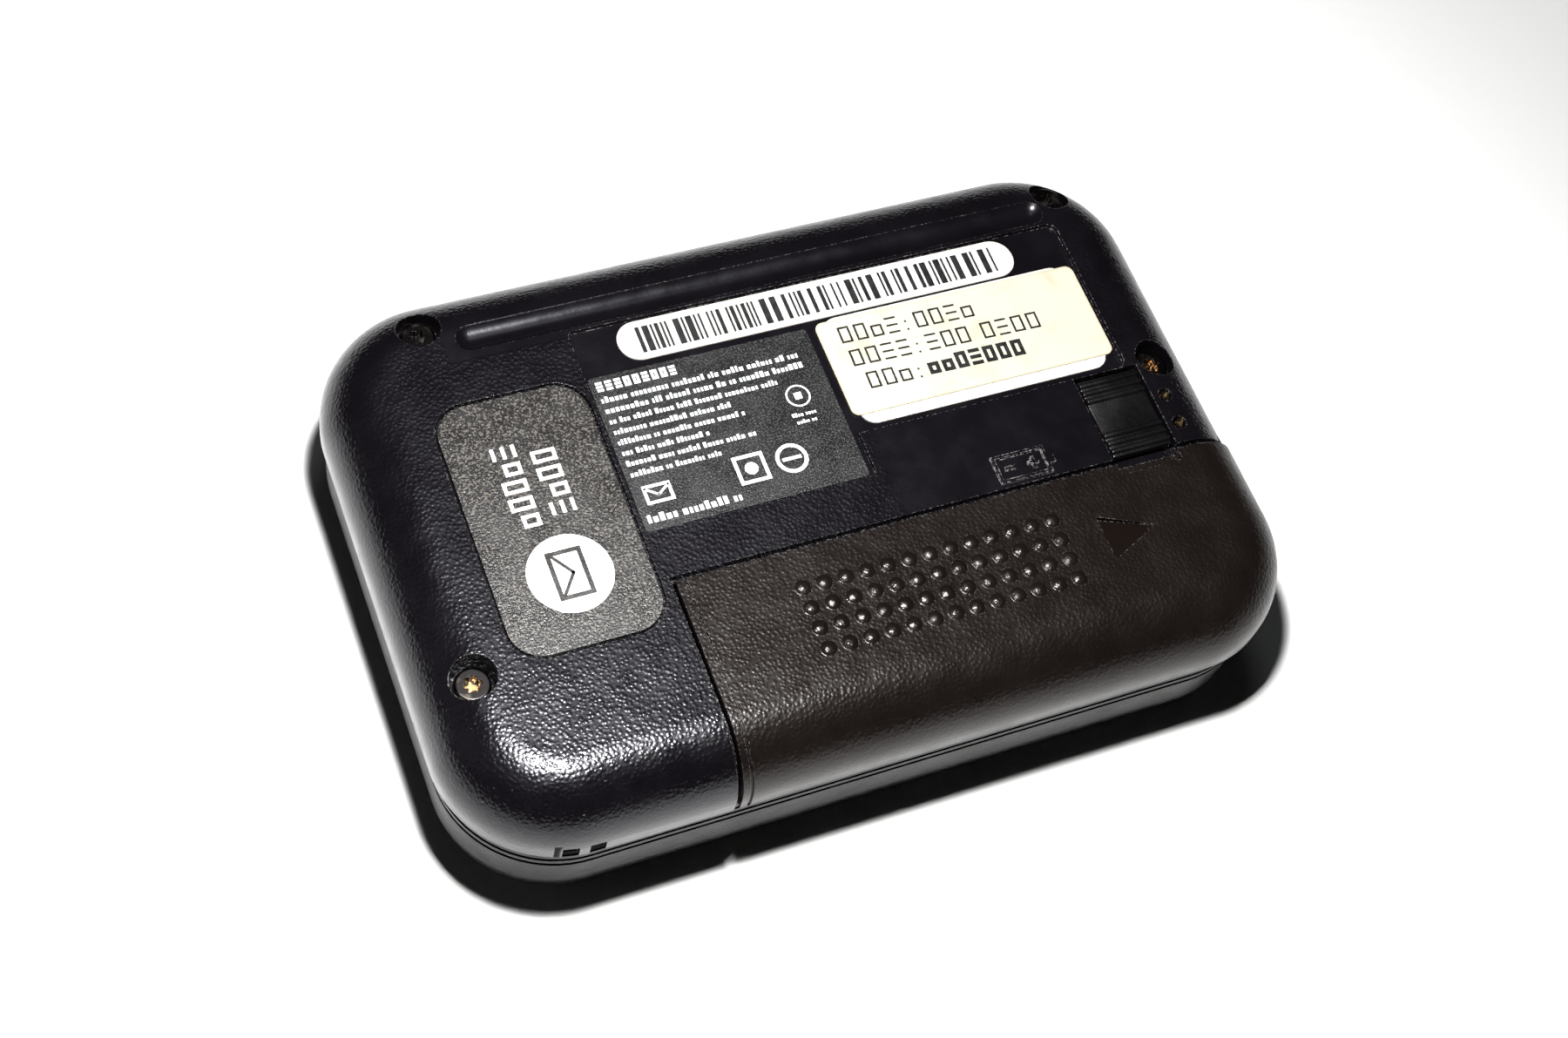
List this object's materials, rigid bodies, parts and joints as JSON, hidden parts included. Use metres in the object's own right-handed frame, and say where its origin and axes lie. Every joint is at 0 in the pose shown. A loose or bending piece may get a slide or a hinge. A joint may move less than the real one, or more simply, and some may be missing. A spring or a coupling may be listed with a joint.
{
  "type": "pager",
  "caption": "Pocket message pager lying face down: two-part black case, sliding battery door with raised grip dots, ribbed latch, labelled back, display and keys underneath.",
  "frame": {"origin": "middle of the plane of the front rim, which the pager rests on, under the middle of the case", "axes": "+X along the case towards the end the battery door slides off, +Y across the case away from the battery, +Z out of the back"},
  "size_m": [0.08, 0.0536, 0.0188],
  "materials": {
    "case_plastic": "fine leather-grain moulded, satin",
    "door_plastic": "leather-grain moulded, satin",
    "latch_plastic": "fine spark-eroded, satin",
    "key_rubber": "moulded silicone, satin",
    "gasket_rubber": "moulded",
    "badge_film": "gritty printed plate",
    "black_label": "gritty printed polyester film",
    "white_label": "printed white film",
    "cream_label": "matt paper face, slightly yellowed",
    "screw_steel": "black-zinc plated, worn to the brass tone in the sockets",
    "contact_gold": "gold flash",
    "spring_steel": "bright",
    "inner_plastic": "moulded",
    "lens_plastic": "clear hard-coated",
    "lcd_glass": "liquid-crystal cell",
    "light_guide": "frosted",
    "circuit_board": "solder-masked",
    "chip_epoxy": "moulded epoxy",
    "tin_can": "tinned",
    "sounder_plastic": "moulded",
    "weight_metal": "sintered",
    "cell_steel": "nickel plated",
    "cell_wrap": "shrink label"
  },
  "bodies": {
    "case": {"backlight_panel": "light_guide", "badge_plate": "badge_film", "barcode_label": "white_label", "battery_cell": "cell_steel", "board_chips": "chip_epoxy", "board_connector": "inner_plastic", "case_gasket": "gasket_rubber", "case_screws": "screw_steel", "cell_jacket": "cell_wrap", "contact_block": "inner_plastic", "contact_pins": "contact_gold", "crystal": "tin_can", "display_lens": "lens_plastic", "dome_switches": "contact_gold", "elastomer_strips": "gasket_rubber", "front_housing": "case_plastic", "keypad_membrane": "gasket_rubber", "latch_spring": "spring_steel", "lcd_frame": "inner_plastic", "lcd_glass": "lcd_glass", "logic_board": "circuit_board", "loop_antenna": "contact_gold", "motor_boot": "gasket_rubber", "negative_contact": "contact_gold", "positive_contact": "contact_gold", "rating_label": "black_label", "rear_housing": "case_plastic", "receiver_board": "circuit_board", "receiver_shield": "tin_can", "serial_label_lower": "white_label", "serial_label_upper": "cream_label", "sounder": "sounder_plastic", "vibration_motor": "tin_can"},
    "door": {"battery_door": "door_plastic"},
    "latch": {"door_latch": "latch_plastic"},
    "weight": {"motor_shaft": "spring_steel", "eccentric_weight": "weight_metal"},
    "key_up": {"key_up": "key_rubber"},
    "key_down": {"key_down": "key_rubber"},
    "key_left": {"key_left": "key_rubber"},
    "key_right": {"key_right": "key_rubber"},
    "key_select": {"key_select": "key_rubber"},
    "key_menu": {"key_menu": "key_rubber"},
    "key_read": {"key_read": "key_rubber"}
  },
  "joints": [
    {"name": "door_slide", "type": "slide", "parent": "case", "child": "door", "axis": [1, 0, 0], "range_m": [0, 0.058]},
    {"name": "latch_slide", "type": "slide", "parent": "case", "child": "latch", "axis": [0, -1, 0], "range_m": [0, 0.0016]},
    {"name": "weight_spin", "type": "hinge", "parent": "case", "child": "weight", "pos_m": [-0.0216, 0.012, 0.0098], "axis": [1, 0, 0], "continuous": true},
    {"name": "key_up_press", "type": "slide", "parent": "case", "child": "key_up", "axis": [0, 0, 1], "range_m": [0, 0.0005], "stiffness_N_per_m": 300},
    {"name": "key_down_press", "type": "slide", "parent": "case", "child": "key_down", "axis": [0, 0, 1], "range_m": [0, 0.0005], "stiffness_N_per_m": 300},
    {"name": "key_left_press", "type": "slide", "parent": "case", "child": "key_left", "axis": [0, 0, 1], "range_m": [0, 0.0005], "stiffness_N_per_m": 300},
    {"name": "key_right_press", "type": "slide", "parent": "case", "child": "key_right", "axis": [0, 0, 1], "range_m": [0, 0.0005], "stiffness_N_per_m": 300},
    {"name": "key_select_press", "type": "slide", "parent": "case", "child": "key_select", "axis": [0, 0, 1], "range_m": [0, 0.0005], "stiffness_N_per_m": 300},
    {"name": "key_menu_press", "type": "slide", "parent": "case", "child": "key_menu", "axis": [0, 0, 1], "range_m": [0, 0.0005], "stiffness_N_per_m": 300},
    {"name": "key_read_press", "type": "slide", "parent": "case", "child": "key_read", "axis": [0, 0, 1], "range_m": [0, 0.0005], "stiffness_N_per_m": 300}
  ]
}
